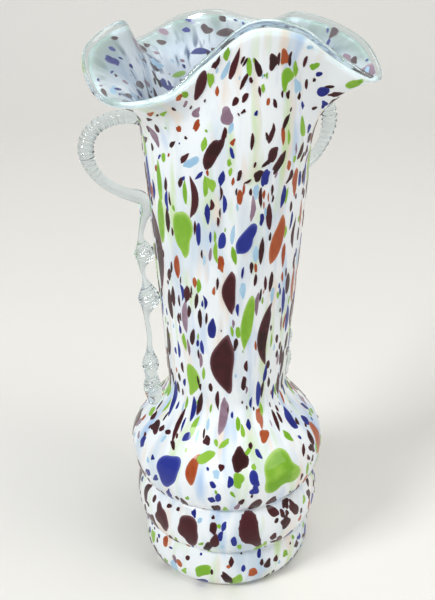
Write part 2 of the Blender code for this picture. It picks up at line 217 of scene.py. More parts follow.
def vessel_profile(size):
    """(radius, height) of the skin from the foot ring's edge to the neck's end: five quarter
    ellipses for the rings, half a cosine wave from the shoulder to the waist, then a straight
    neck. Also the arc length at each point and the height of the neck's end."""
    lower_z = size.low_bulge_height
    upper_z = lower_z + size.mid_bulge_height
    shoulder_z = upper_z + size.shoulder_rise
    waist_z = shoulder_z + size.waist_rise
    neck_z = waist_z + size.neck_length
    corner = (size.foot_radius, 0.0)
    low = (size.low_bulge_radius, size.low_bulge_middle)
    lower = (size.lower_groove_radius, lower_z)
    middle = (size.mid_bulge_radius, (lower_z + upper_z) / 2)
    upper = (size.upper_groove_radius, upper_z)
    shoulder = (size.shoulder_radius, shoulder_z)
    share = np.linspace(0, 1, 161)[1:]
    swing = (1 + np.cos(math.pi * share)) / 2
    waist = np.column_stack(
        (
            size.waist_radius + (size.shoulder_radius - size.waist_radius) * swing,
            shoulder_z + size.waist_rise * share,
        )
    )
    share = np.linspace(0, 1, 201)[1:]
    neck = np.column_stack(
        (
            size.waist_radius + (size.mouth_radius - size.waist_radius) * share,
            waist_z + size.neck_length * share,
        )
    )
    points = np.vstack(
        (
            [corner],
            quarter(corner, low, False),
            quarter(low, lower, True),
            quarter(lower, middle, False),
            quarter(middle, upper, True),
            quarter(upper, shoulder, False),
            waist,
            neck,
        )
    )
    length = np.concatenate(((0,), np.cumsum(np.linalg.norm(np.diff(points, axis=0), axis=1))))
    return points, length, neck_z


def rim_at(size, neck_z, azimuths):
    """Rim radius, height and lip slope at azimuths in radians: a closed cubic Hermite curve
    through the folds, whose slope at each fold is that between its two neighbours."""
    table = np.array(RIM_FOLDS, float)
    knots = np.concatenate((table[-1:, 0] - 360, table[:, 0], table[:2, 0] + 360))
    values = np.vstack((table[-1:, 1:], table[:, 1:], table[:2, 1:]))
    degrees = np.degrees(azimuths) % 360
    before = np.clip(np.searchsorted(knots, degrees, side="right") - 1, 1, len(knots) - 3)
    slopes = np.zeros_like(values)
    slopes[1:-1] = (values[2:] - values[:-2]) / (knots[2:] - knots[:-2])[:, None]
    slopes[0] = slopes[len(table)]
    slopes[-1] = slopes[2]
    span = (knots[before + 1] - knots[before])[..., None]
    t = (degrees - knots[before])[..., None] / span
    made = (
        (2 * t**3 - 3 * t**2 + 1) * values[before]
        + (t**3 - 2 * t**2 + t) * span * slopes[before]
        + (3 * t**2 - 2 * t**3) * values[before + 1]
        + (t**3 - t**2) * span * slopes[before + 1]
    )
    reach, rise, lip = np.moveaxis(made, -1, 0)
    return size.mouth_radius + reach * MM, neck_z + rise * MM, np.radians(lip)


FLARE = 46 * MM
# How far the flare's bends reach from its two ends, as a share of the straight line.
BEND_REACH = 0.42


class Skin:
    """The vessel's outer skin as a function of azimuth and distance along the wall. Below the
    flare the distance is arc length from the foot's edge; the flare is FLARE long, whatever
    its real length on that azimuth."""

    def __init__(self, size):
        self.size = size
        self.profile, self.length, self.neck_z = vessel_profile(size)
        self.neck_at = self.length[-1]
        self.rim_along = self.neck_at + FLARE

    def radius_height(self, azimuth, along):
        """Radius and height: read off the profile below the flare, and above it a Bezier curve
        from the neck's end to the rim that leaves along the neck and arrives along the lip."""
        radius = np.interp(along, self.length, self.profile[:, 0])
        height = np.interp(along, self.length, self.profile[:, 1])
        t = np.clip((along - self.neck_at) / FLARE, 0, 1.2)
        rim_radius, rim_height, lip = rim_at(self.size, self.neck_z, azimuth)
        start = (self.size.mouth_radius, self.neck_z)
        way = (self.size.mouth_radius - self.size.waist_radius, self.size.neck_length)
        norm = math.hypot(*way)
        reach = np.hypot(rim_radius - start[0], rim_height - start[1]) * BEND_REACH
        flared = t > 0
        bends = []
        for begin, end, leave, arrive in (
            (start[0], rim_radius, way[0] / norm, np.cos(lip)),
            (start[1], rim_height, way[1] / norm, np.sin(lip)),
        ):
            first, second = begin + leave * reach, end - arrive * reach
            bends.append(
                (1 - t) ** 3 * begin
                + 3 * t * (1 - t) ** 2 * first
                + 3 * t**2 * (1 - t) * second
                + t**3 * end
            )
        return np.where(flared, bends[0], radius), np.where(flared, bends[1], height)

    def point(self, azimuth, along):
        """The skin's point in space."""
        radius, height = self.radius_height(azimuth, along)
        return np.stack((radius * np.cos(azimuth), radius * np.sin(azimuth), height), -1)

    def normal(self, azimuth, along):
        """Outward normal: the cross product of the differences along both parameters."""
        turn, step = 0.004, 0.15 * MM
        around = self.point(azimuth + turn, along) - self.point(azimuth - turn, along)
        up = self.point(azimuth, along + step) - self.point(azimuth, along - step)
        made = np.cross(around, up)
        return made / np.linalg.norm(made, axis=-1, keepdims=True)

    def under(self, azimuth, along, depth):
        """The point a depth under the skin, measured square to it."""
        return self.point(azimuth, along) - self.normal(azimuth, along) * depth[..., None]

    def along_at_height(self, height):
        """Distance along the wall of a height. Above the neck's end the wall counts as upright."""
        return np.interp(height, self.profile[:, 1], self.length) + max(
            0.0, height - self.neck_z
        )


# ---------------------------------------------------------------- mesh and node helpers


def link(name, points, quads, triangles, material):
    """A named object at the origin from points, quads and triangles."""
    mesh = bpy.data.meshes.new(name)
    faces = np.asarray(quads).reshape(-1, 4).tolist()
    faces += np.asarray(triangles, int).reshape(-1, 3).tolist()
    mesh.from_pydata(np.asarray(points).reshape(-1, 3).tolist(), [], faces)
    mesh.shade_smooth()
    mesh.materials.append(material)
    made = bpy.data.objects.new(name, mesh)
    bpy.context.scene.collection.objects.link(made)
    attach(made, BODY)
    return made


def grid_quads(rows, columns, closed_rows=False):
    """Quads between the rows of a grid whose columns close round."""
    low = np.arange(rows if closed_rows else rows - 1)
    high = (low + 1) % rows
    side = np.arange(columns)
    after = (side + 1) % columns
    return np.stack(
        (
            low[:, None] * columns + side,
            low[:, None] * columns + after,
            high[:, None] * columns + after,
            high[:, None] * columns + side,
        ),
        -1,
    ).reshape(-1, 4)


def set_floats(mesh, name, values):
    """A float attribute on the points."""
    layer = mesh.attributes.new(name, "FLOAT", "POINT")
    layer.data.foreach_set("value", np.asarray(values, np.float32).ravel())


def add(tree, kind, settings=None, inputs=None):
    """Adds a node: settings are its properties, inputs its socket values or links."""
    node = tree.nodes.new(kind)
    for key, value in (settings or {}).items():
        setattr(node, key, value)
    for key, value in (inputs or {}).items():
        if isinstance(value, bpy.types.NodeSocket):
            tree.links.new(value, node.inputs[key])
        else:
            node.inputs[key].default_value = value
    return node


def new_material(name):
    """An empty node material with its output node."""
    made = bpy.data.materials.new(name)
    made.use_nodes = True
    made.node_tree.nodes.clear()
    return made, made.node_tree, made.node_tree.nodes.new("ShaderNodeOutputMaterial")


def coated(tree, colour, roughness=0.3):
    """Glass with colour in it under a clear fire polished casing: a soft base and a sharp
    clear coat. Its waves, about 14 mm apart, are the unevenness that blowing leaves."""
    place = add(tree, "ShaderNodeTexCoord").outputs["Object"]
    wave = add(
        tree, "ShaderNodeTexNoise", inputs={"Vector": place, "Scale": 70.0, "Detail": 1.0}
    ).outputs["Fac"]
    uneven = add(
        tree, "ShaderNodeBump", inputs={"Strength": 0.25, "Distance": 0.8 * MM, "Height": wave}
    ).outputs["Normal"]
    return add(
        tree, "ShaderNodeBsdfPrincipled",
        inputs={
            "Base Color": colour, "Roughness": roughness, "IOR": 1.5, "Coat Normal": uneven,
            "Specular IOR Level": 0.05, "Coat Weight": 0.9, "Coat Roughness": 0.035,
            "Coat IOR": 1.3,
        },
    )


def ramp(tree, factor, stops):
    """A colour ramp through (place, linear colour) stops."""
    node = add(tree, "ShaderNodeValToRGB", inputs={"Fac": factor})
    line = node.color_ramp
    while len(line.elements) < len(stops):
        line.elements.new(0.5)
    for element, (place, colour) in zip(line.elements, stops):
        element.position = place
        element.color = (*colour[:3], 1)
    return node.outputs["Color"]


def mixed(tree, factor, first, second):
    """Mixes two colours."""
    node = add(tree, "ShaderNodeMix", {"data_type": "RGBA"}, {0: factor, 6: first, 7: second})
    return node.outputs[2]


def rgba(colour):
    """A property colour with full alpha."""
    return (*colour[:3], 1.0)


# ---------------------------------------------------------------- glasses


def flow_noise(tree, scale, detail, stretch, seed=0.0):
    """Noise drawn out along the flow of the wall, so the streaks run as the glass was swung
    out. Scale is in features a metre round the wall."""
    flow = add(tree, "ShaderNodeAttribute", {"attribute_name": "flow"}).outputs["Vector"]
    place = add(
        tree, "ShaderNodeMapping",
        inputs={"Vector": flow, "Scale": (1.0, 1.0, stretch), "Location": (seed, 0.0, 0.0)},
    ).outputs["Vector"]
    return add(
        tree, "ShaderNodeTexNoise", inputs={"Vector": place, "Scale": scale, "Detail": detail}
    ).outputs["Fac"]


def opal_glass(colours):
    """Blown white opal under a crystal casing: milky, with smoky, green and blue streaks of
    thin colour that the chips left as they melted. It looks wet and deep."""
    made, tree, out = new_material("opal_glass_cased_fire_polished")
    opal, smoke = rgba(colours.opal), rgba(colours.smoke)
    tint = ramp(tree, flow_noise(tree, 70.0, 3.0, 0.25), ((0.50, opal), (0.70, smoke)))
    for seed, scale, hex_colour in ((3.1, 110.0, "#C9DDAE"), (7.7, 90.0, "#AFC8E6"),
                                    (5.3, 130.0, "#E6DACE")):
        share = ramp(
            tree, flow_noise(tree, scale, 2.0, 0.22, seed), ((0.57, (0, 0, 0)), (0.72, (1, 1, 1)))
        )
        tint = mixed(tree, share, tint, rgba(linear(hex_colour)))
    shader = coated(tree, tint)
    tree.links.new(shader.outputs[0], out.inputs["Surface"])
    return made


def opal_inside():
    """The same opal seen from inside: blue-white, with the colours behind it showing through
    as soft dark streaks, and greyer towards the lip, where it was drawn thin."""
    made, tree, out = new_material("opal_glass_inside_thin_drawn")
    edge = add(tree, "ShaderNodeAttribute", {"attribute_name": "to_rim"}).outputs["Fac"]
    wide = flow_noise(tree, 110.0, 3.0, 0.35, 2.0)
    fine = flow_noise(tree, 260.0, 2.0, 0.30, 4.0)
    base = ramp(tree, wide, ((0.40, linear("#E4EDF4")), (0.66, linear("#B4C4D4"))))
    dark = ramp(tree, fine, ((0.55, (0, 0, 0)), (0.66, (1, 1, 1))))
    streaked = mixed(tree, dark, base, rgba(linear("#6C7A92")))
    thin = ramp(tree, wide, ((0.40, linear("#C9D3D6")), (0.62, linear("#9FAEA8"))))
    shader = coated(tree, mixed(tree, edge, streaked, thin))
    tree.links.new(shader.outputs[0], out.inputs["Surface"])
    return made


def chip_glass(colours, name, veil=0.0):
    """A coloured chip melted flat into the opal: deep where it is thick, paler at its thin
    edge, where the white shows through it. Each chip has a tone of its own, and clouds 8 mm
    across where it melted unevenly. A veil is opal lying over it, as seen from inside."""
    kind = "_chip_glass_behind_opal" if veil else "_chip_glass_melted_in"
    made, tree, out = new_material(name + kind)
    depth = add(tree, "ShaderNodeAttribute", {"attribute_name": "depth"}).outputs["Fac"]
    tone = add(tree, "ShaderNodeAttribute", {"attribute_name": "tone"}).outputs["Fac"]
    place = add(tree, "ShaderNodeTexCoord").outputs["Object"]
    cloud = add(
        tree, "ShaderNodeTexNoise", inputs={"Vector": place, "Scale": 125.0, "Detail": 2.0}
    ).outputs["Fac"]
    opal = colours.opal[:3]
    full = tuple((1 - veil) * f + veil * o for f, o in zip(getattr(colours, name)[:3], opal))
    # Glass half as deep lets through the square root of the light.
    thin = tuple(0.95 * f**0.62 + 0.05 * o for f, o in zip(full, opal))
    light = tuple(f**0.84 for f in full)
    full = tuple(f**1.15 for f in full)
    patchy = ramp(tree, cloud, ((0.48, (0, 0, 0)), (0.72, (1, 1, 1))))
    body = mixed(tree, tone, rgba(full), rgba(light))
    body = mixed(tree, patchy, body, rgba(light))
    shader = coated(tree, mixed(tree, depth, rgba(thin), body))
    tree.links.new(shader.outputs[0], out.inputs["Surface"])
    return made


def crystal_glass(colours):
    """Clear crystal, drawn and fire polished: sharp highlights, dark edges where it bends the
    view, and a trace of blue. Lamps shine through it, as they do through real glass."""
    made, tree, out = new_material("crystal_glass_drawn_fire_polished")
    place = add(tree, "ShaderNodeTexCoord").outputs["Object"]
    wave = add(
        tree, "ShaderNodeTexNoise", inputs={"Vector": place, "Scale": 260.0, "Detail": 1.0}
    ).outputs["Fac"]
    bump = add(
        tree, "ShaderNodeBump", inputs={"Strength": 0.06, "Distance": 0.3 * MM, "Height": wave}
    )
    shader = add(
        tree, "ShaderNodeBsdfPrincipled",
        inputs={
            "Base Color": rgba(colours.crystal), "Roughness": 0.02, "IOR": 1.52,
            "Transmission Weight": 1.0, "Normal": bump.outputs["Normal"],
        },
    )
    lit = add(tree, "ShaderNodeLightPath").outputs["Is Shadow Ray"]
    clear = add(tree, "ShaderNodeBsdfTransparent", inputs={"Color": (0.92, 0.95, 0.96, 1)})
    both = add(tree, "ShaderNodeMixShader", inputs={0: lit, 1: shader.outputs[0],
                                                    2: clear.outputs[0]})
    tree.links.new(both.outputs[0], out.inputs["Surface"])
    return made


# ---------------------------------------------------------------- pieces


COLUMNS = 216

# The inside floor's height, where the inside wall's rows start, and how the wall's two faces
# draw together over the last stretch of the opal, under the lip.
FLOOR_HEIGHT = 6.5 * MM
INSIDE_START = 5 * MM
EDGE_TAPER = 2.5 * MM
OUTSIDE_DRAW = 0.9 * MM
INSIDE_DRAW = 0.7 * MM
# The thin grey glass inside the mouth fades out this far below the opal's edge.
THIN_BAND = 16 * MM

# The lip's crown as a share of the wall, and how deep its foot is let into the opal.
CROWN_RISE = 0.55
LIP_FOOT = 0.35 * MM

# Handles, in millimetres along the strand: the crimp ribs' pitch, where crimping starts and ends,
# and the length over which an end closes. Then the pinch ribs' pitch, half a bead's length, and
# where the beads begin.
CRIMP_PITCH, CRIMP_START, CRIMP_END, END_ROUNDING = 2.9, 6, 62, 1.6
PINCH_PITCH, BEAD_HALF, BEADS_FROM = 2.3, 4.2, 70

# Chips: the lowest place, the width from which one is faceted more finely, and the share of
# opal that veils those inside.
LOWEST_CHIP = 4 * MM
BROAD_CHIP = 3.4 * MM
INNER_VEIL = 0.12
# A chip's outline dips this far under the opal and its back lies at this depth. The levels of
# the colours start at the first height and are the second apart.
OUTLINE_DIP = 0.08 * MM
CHIP_DEPTH = 0.35 * MM
FIRST_LEVEL, LEVEL_STEP = 0.09, 0.045
INSIDE_REACH = 50 * MM
# Scattered chips: the spread of sizes, the middle widths on the flare, neck and rings, the
# largest width and length in millimetres, and the clearance between two and round a large one.
SIZE_SPREAD = 0.55
FLARE_WIDTH, NECK_WIDTH, RING_WIDTH = 2.3, 2.1, 3.4
MOST_WIDTH, MOST_LENGTH = 11.0, 32.0
CLEARANCE, LARGE_CLEARANCE = 0.17, 0.27
TRIES = 40

# How finely chips are faceted: points round the outline, and the shares of it with rings.
FINE = (36, (0.25, 0.5, 0.7, 0.85, 0.96, 1.0))
MIDDLING = (20, (0.3, 0.6, 0.85, 1.0))
COARSE = (12, (0.75, 1.0))


def eased(t):
    """Smooth step from 0 to 1."""
    t = np.clip(t, 0, 1)
    return t * t * (3 - 2 * t)


def wall_at(size, skin, along):
    """Whole thickness of the wall: even below the flare, then thinning to the rim."""
    share = np.clip((along - skin.neck_at) / FLARE, 0, 1)
    return size.wall + (size.wall_at_rim - size.wall) * share


def build_vessel(size, colours):
    """The opal vessel as one closed skin: the foot, up the outside, over the opal's edge and
    down the inside to the floor. Rows are distances along the wall and columns are azimuths.
    The outside follows the skin and the inside lies a wall thickness under it. Both draw
    together at the edge, which the lip covers."""
    skin = Skin(size)
    azimuth = np.arange(COLUMNS) * 2 * math.pi / COLUMNS
    opal_end = skin.rim_along - size.lip_width
    out_along = np.concatenate(
        (np.linspace(0, skin.neck_at, 190)[1:], np.linspace(skin.neck_at, opal_end, 50)[1:])
    )
    in_along = np.concatenate(
        (
            np.linspace(INSIDE_START, skin.neck_at, 90)[1:],
            np.linspace(skin.neck_at, opal_end, 46)[1:],
        )
    )[::-1]
    a, v = np.meshgrid(azimuth, out_along)
    depth = OUTSIDE_DRAW * eased((v - (opal_end - EDGE_TAPER)) / EDGE_TAPER)
    outside = skin.under(a, v, depth)
    b, w = np.meshgrid(azimuth, in_along)
    thick = wall_at(size, skin, w)
    thick -= INSIDE_DRAW * eased((w - (opal_end - EDGE_TAPER)) / EDGE_TAPER)
    inside = skin.under(b, w, thick)
    pontil, ring = size.pontil_radius, size.foot_radius
    foot_radii = np.array((0.35 * pontil, 0.7 * pontil, pontil, (pontil + ring) / 2, ring))
    rise = np.array((0.94, 0.6, 0.0, 0.0, 0.0))[:, None] * size.pontil_rise
    foot = ring_points(foot_radii[:, None], rise, azimuth)
    floor_z = inside[-1, 0, 2]
    floor_radius = np.linalg.norm(inside[-1, 0, :2])
    floor_share = np.array((0.97, 0.9, 0.75, 0.5, 0.2))[:, None]
    floor_fall = np.array((0.35, 0.7, 0.9, 1.0, 1.0))[:, None] * (floor_z - FLOOR_HEIGHT)
    floor = ring_points(floor_share * floor_radius, floor_z - floor_fall, azimuth)
    rings = np.concatenate((foot, outside, inside, floor))
    count = len(rings)
    bottom = (0.0, 0.0, size.pontil_rise)
    top = (0.0, 0.0, FLOOR_HEIGHT)
    points = np.vstack(([bottom], rings.reshape(-1, 3), [top]))
    quads = grid_quads(count, COLUMNS) + 1
    side = np.arange(COLUMNS)
    after = (side + 1) % COLUMNS
    last = 1 + (count - 1) * COLUMNS
    first_fan = np.column_stack((np.zeros(COLUMNS, int), 1 + after, 1 + side))
    last_fan = np.column_stack((last + side, last + after, np.full(COLUMNS, len(points) - 1)))
    made = link("opal_vessel", points, quads, np.vstack((first_fan, last_fan)),
                opal_glass(colours))
    made.data.materials.append(opal_inside())
    outside_quads = (len(foot) + len(outside)) * COLUMNS
    index = np.zeros(len(made.data.polygons), np.int32)
    index[outside_quads - COLUMNS : len(quads)] = 1
    index[len(quads) + COLUMNS :] = 1
    made.data.polygons.foreach_set("material_index", index)
    along = np.concatenate(
        (
            (0.0,),
            np.repeat(np.zeros(len(foot)), COLUMNS),
            v.ravel(),
            w.ravel(),
            np.zeros(len(floor) * COLUMNS),
            (0.0,),
        )
    )
    set_floats(made.data, "to_rim", eased((along - (opal_end - THIN_BAND)) / THIN_BAND))
    set_flow(made.data, points, along)
    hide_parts("opal_lining", "crystal_casing")
    return made


def ring_points(radii, heights, azimuth):
    """Rings of points: one radius and height per row, one azimuth per column."""
    heights = np.broadcast_to(heights, (len(radii), len(azimuth)))
    return np.stack((radii * np.cos(azimuth), radii * np.sin(azimuth), heights), -1)


def set_flow(mesh, points, along):
    """Vector attribute 'flow' in metres: a circle of 40 mm radius at each azimuth, which closes
    on itself and shrinks to nothing at the floor's centre, and the distance along the wall."""
    radius = np.hypot(points[:, 0], points[:, 1])
    scale = 40 * MM * np.clip(radius / (25 * MM), 0, 1) / np.maximum(radius, 1e-6)
    flow = np.column_stack((points[:, 0] * scale, points[:, 1] * scale, along))
    layer = mesh.attributes.new("flow", "FLOAT_VECTOR", "POINT")
    layer.data.foreach_set("vector", flow.astype(np.float32).ravel())


def build_lip(size, colours):
    """The lip: clear glass beyond the opal's edge, round over the top. Its section, in distances
    along the wall and depths under the skin, runs up the outside on the skin, over a half
    circle, and down the inside, then back within the opal. It is carried round every azimuth."""
    skin = Skin(size)
    wall = size.wall_at_rim
    end = skin.rim_along
    turn = np.linspace(0, math.pi, 9)
    rise = wall * CROWN_RISE
    crown = [(end + (math.sin(t) - 1) * rise, wall / 2 - math.cos(t) * wall / 2) for t in turn]
    reach = size.lip_width + EDGE_TAPER
    up = [
        (end - reach + s * (reach - rise), LIP_FOOT * (1 - s) ** 3) for s in (0, 0.25, 0.5, 0.75)
    ]
    down = [
        (end - rise - s * (reach - rise), wall - LIP_FOOT * s**3) for s in (0.25, 0.5, 0.75, 1.0)
    ]
    section = up + crown + down + [(end - reach, wall / 2)]
    azimuth = np.arange(COLUMNS) * 2 * math.pi / COLUMNS
    points = np.array([
        skin.under(azimuth, np.full(COLUMNS, along), np.full(COLUMNS, depth))
        for along, depth in section
    ])
    made = link("lip_crystal", points, grid_quads(len(section), COLUMNS, True), (),
                crystal_glass(colours))
    return made


def smooth_stations(table, count):
    """Points evenly spaced along a Catmull-Rom curve through the rows of a table."""
    knots = np.array(table, float)
    padded = np.vstack((2 * knots[0] - knots[1], knots, 2 * knots[-1] - knots[-2]))
    place = np.linspace(0, len(knots) - 1, count)
    k = np.minimum(place.astype(int), len(knots) - 2)
    t = (place - k)[:, None]
    a, b, c, d = padded[k], padded[k + 1], padded[k + 2], padded[k + 3]
    return (
        2 * b + (c - a) * t + (2 * a - 5 * b + 4 * c - d) * t**2
        + (3 * b - a - 3 * c + d) * t**3
    ) / 2


def build_handle(name, size, colours, degrees):
    """One strand swept in the upright plane of its azimuth: an ellipse carried square to its
    centre line. Crimp ribs are a rounded wave of the section's size along the loop's upper
    half. Pincer ribs are sharper and slant across each bead's flat faces."""
    skin = Skin(size)
    stations = smooth_stations(STRAND, 760)
    height = skin.neck_z + stations[:, 1] * MM
    slope = (size.mouth_radius - size.waist_radius) / size.neck_length
    base = np.interp(height, skin.profile[:, 1], skin.profile[:, 0])
    base += np.maximum(height - skin.neck_z, 0) * slope
    centre = np.column_stack((base + stations[:, 0] * MM, height))
    way = np.gradient(centre, axis=0)
    step = np.linalg.norm(way, axis=1)
    way /= step[:, None]
    run = np.cumsum(step) / MM
    side = np.column_stack((way[:, 1], -way[:, 0]))
    sides = 40
    turn = (np.arange(sides) * 2 * math.pi / sides)[None, :]
    crimped = (eased((run - CRIMP_START) / 6) * eased((CRIMP_END - run) / 14))[:, None]
    ribs = crimped * np.cos(2 * math.pi * run[:, None] / CRIMP_PITCH)
    beads = np.zeros(len(run))
    for middle in PINCHED_BEADS:
        beads += np.exp(-(((stations[:, 1] - middle) / BEAD_HALF) ** 4)) * (run > BEADS_FROM)
    slant = run[:, None] / PINCH_PITCH + 1.15 * np.cos(turn)
    pinch = beads[:, None] * (np.abs(np.sin(math.pi * slant)) - 0.6)
    wide = stations[:, 2, None] * MM * np.cos(turn) * (1 + 0.045 * ribs + 0.05 * pinch)
    across = stations[:, 3, None] * MM * np.sin(turn) * (1 + 0.09 * ribs + 0.34 * pinch)
    closing = np.sqrt(np.clip(np.minimum(run, run[-1] - run) / END_ROUNDING, 0.02, 1))[:, None]
    wide, across = wide * closing, across * closing
    radial = centre[:, :1] + side[:, :1] * wide
    up = centre[:, 1:] + side[:, 1:] * wide
    c, s = math.cos(math.radians(degrees)), math.sin(math.radians(degrees))
    rings = np.stack((radial * c - across * s, radial * s + across * c, up), -1)
    ends = [(centre[i, 0] * c, centre[i, 0] * s, centre[i, 1]) for i in (0, -1)]
    points = np.vstack(([ends[0]], rings.reshape(-1, 3), [ends[1]]))
    count = len(run)
    around = np.arange(sides)
    after = (around + 1) % sides
    last = 1 + (count - 1) * sides
    fans = np.vstack(
        (
            np.column_stack((np.zeros(sides, int), 1 + after, 1 + around)),
            np.column_stack((last + around, last + after, np.full(sides, len(points) - 1))),
        )
    )
    made = link(name + "_drawn", points, grid_quads(count, sides) + 1, fans,
                crystal_glass(colours))
    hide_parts(name)
    return made


def chip_mesh(name, size, chips, sides, shares, material, seed, level, inside=False):
    """Chips as thin lenses let into the skin. On each, a point at turn t and share s of the
    outline lies at (length cos t, width sin t) s / 2. Long chips are drawn to points by a
    power of sin t. The outline waves and bends a little, leans, and is then laid on the skin
    at its azimuth and distance along the wall. The face stands a tenth of a millimetre proud
    and dips under the opal at the outline, so the edge is a clean line."""
    rng = np.random.default_rng(seed)
    skin = Skin(size)
    azimuth, along, length, width, lean = np.asarray(chips, float).T
    count = len(azimuth)
    turn = np.arange(sides) * 2 * math.pi / sides
    drawn = np.clip(length / width / 2.5 - 0.6, 0, 1)[:, None]
    wave = np.ones((count, sides))
    for order, amount in ((1, 0.08), (2, 0.08), (3, 0.10), (4, 0.06), (5, 0.04)):
        strength = rng.normal(0, amount, (count, 1)) * (1.25 - 0.6 * drawn)
        phase = rng.uniform(0, 2 * math.pi, (count, 1))
        wave += strength * np.cos(order * turn + phase)
    wave = np.clip(wave, 0.6, 1.4)
    shares = np.array(shares)[:, None]
    pointed = np.abs(np.sin(turn)) ** (0.4 * drawn) * 1.04
    up = (length[:, None] / 2 * np.cos(turn) * wave)[:, None, :] * shares
    over = (width[:, None] / 2 * np.sin(turn) * pointed * wave)[:, None, :] * shares
    bend = rng.normal(0, 0.10, (count, 1, 1)) / length[:, None, None]
    over += bend * (up**2 - (length[:, None, None] / 4) ** 2) * 2
    c, s = np.cos(lean)[:, None, None], np.sin(lean)[:, None, None]
    up, over = up * c - over * s, up * s + over * c
    up = np.concatenate((up.mean(axis=(1, 2))[:, None], up.reshape(count, -1)), axis=1)
    over = np.concatenate((over.mean(axis=(1, 2))[:, None], over.reshape(count, -1)), axis=1)
    radius = skin.radius_height(azimuth, along)[0]
    a = azimuth[:, None] + over / radius[:, None]
    v = np.clip(along[:, None] + up, LOWEST_CHIP, skin.rim_along - size.lip_width)
    proud = np.where(shares[:, 0] < 0.97, level, -OUTLINE_DIP)
    proud = np.concatenate(([level], np.repeat(proud, sides)))
    sunk = np.full(1 + (len(shares) - 1) * sides, -CHIP_DEPTH)
    # Under the face the same rings come back, from the outline to the middle.
    back = np.concatenate((
        1 + np.arange((len(shares) - 1) * sides).reshape(-1, sides)[::-1].ravel(), (0,)
    ))
    a, v = np.hstack((a, a[:, back])), np.hstack((v, v[:, back]))
    rise = np.concatenate((proud, sunk))
    depth_under = wall_at(size, skin, v) + rise if inside else np.broadcast_to(-rise, a.shape)
    points = skin.under(a, v, depth_under)
    each = a.shape[1]
    rows = 2 * len(shares) - 1
    ring = np.arange(sides)
    after = (ring + 1) % sides
    final = 1 + (rows - 1) * sides
    fans = np.vstack(
        (
            np.column_stack((np.zeros(sides, int), 1 + after, 1 + ring)),
            np.column_stack((np.full(sides, each - 1), final + ring, final + after)),
        )
    )
    quads = grid_quads(rows, sides) + 1
    if inside:
        fans, quads = fans[:, ::-1], quads[:, ::-1]
    offsets = np.arange(count)[:, None, None] * each
    made = link(name, points, (quads + offsets).reshape(-1, 4),
                (fans + offsets).reshape(-1, 3), material)
    facing = -1 if inside else 1
    normals = skin.normal(a, v) * facing
    normals[:, len(proud):] *= -1
    made.data.normals_split_custom_set_from_vertices(normals.reshape(-1, 3).tolist())
    thick = eased((1 - shares[:, 0]) / 0.2)
    depth = np.concatenate(([1.0], np.repeat(thick, sides), np.zeros(len(sunk))))
    set_floats(made.data, "depth", np.tile(depth, count))
    set_floats(made.data, "tone", np.repeat(rng.uniform(0, 1, count) ** 2, each))
    return made


def scatter(skin, taken, counts, seed, lowest, slant=0.0):
    """Chips dropped at random where they clear the ones before: irregular drops near the mouth
    that follow the folds, long drops on the neck, broad ones on the rings. In each band the
    sizes follow a log-normal spread."""
    rng = np.random.default_rng(seed)
    size = skin.size
    lower = size.low_bulge_height
    upper = lower + size.mid_bulge_height
    marks = np.interp((lower, upper, upper + size.shoulder_rise), skin.profile[:, 1], skin.length)
    grooves, shoulder = marks[:2], marks[2]
    placed = {name: [] for name in counts}
    kinds = np.concatenate([[i] * n for i, n in enumerate(counts.values())])
    rng.shuffle(kinds)
    names = list(counts)
    boxes = np.array(taken or [(0, 0, MM, MM, 0)])
    for kind in kinds:
        for _ in range(TRIES):
            azimuth = rng.uniform(0, 2 * math.pi)
            along = rng.uniform(lowest, skin.rim_along - size.lip_width - 1 * MM)
            spread = rng.lognormal(0, SIZE_SPREAD)
            if along > skin.neck_at - 10 * MM:
                width = FLARE_WIDTH * spread
                length, lean = width * rng.uniform(1.3, 3.2), rng.normal(0.25 + slant, 0.4)
            elif along > shoulder + 25 * MM:
                width = NECK_WIDTH * spread
                length, lean = width * rng.uniform(2.4, 6.5), rng.normal(0, 0.07)
            else:
                width = RING_WIDTH * spread
                length, lean = width * rng.uniform(1.1, 2.6), rng.normal(0, 0.4)
            width, length = min(width, MOST_WIDTH) * MM, min(length, MOST_LENGTH) * MM
            if along < shoulder and np.abs(grooves - along).min() < length / 2:
                continue
            radius = float(skin.radius_height(np.array(azimuth), np.array(along))[0])
            apart = np.abs((boxes[:, 0] - azimuth + math.pi) % (2 * math.pi) - math.pi) * radius
            near = ((apart / (boxes[:, 3] + width)) ** 2
                    + ((boxes[:, 1] - along) / (boxes[:, 2] + length)) ** 2)
            large = near[: len(taken)].min(initial=1.0)
            if near.min() > CLEARANCE and large > LARGE_CLEARANCE:
                row = (azimuth, along, length, width, lean)
                placed[names[kind]].append(row)
                boxes = np.vstack((boxes, [row]))
                break
    return placed


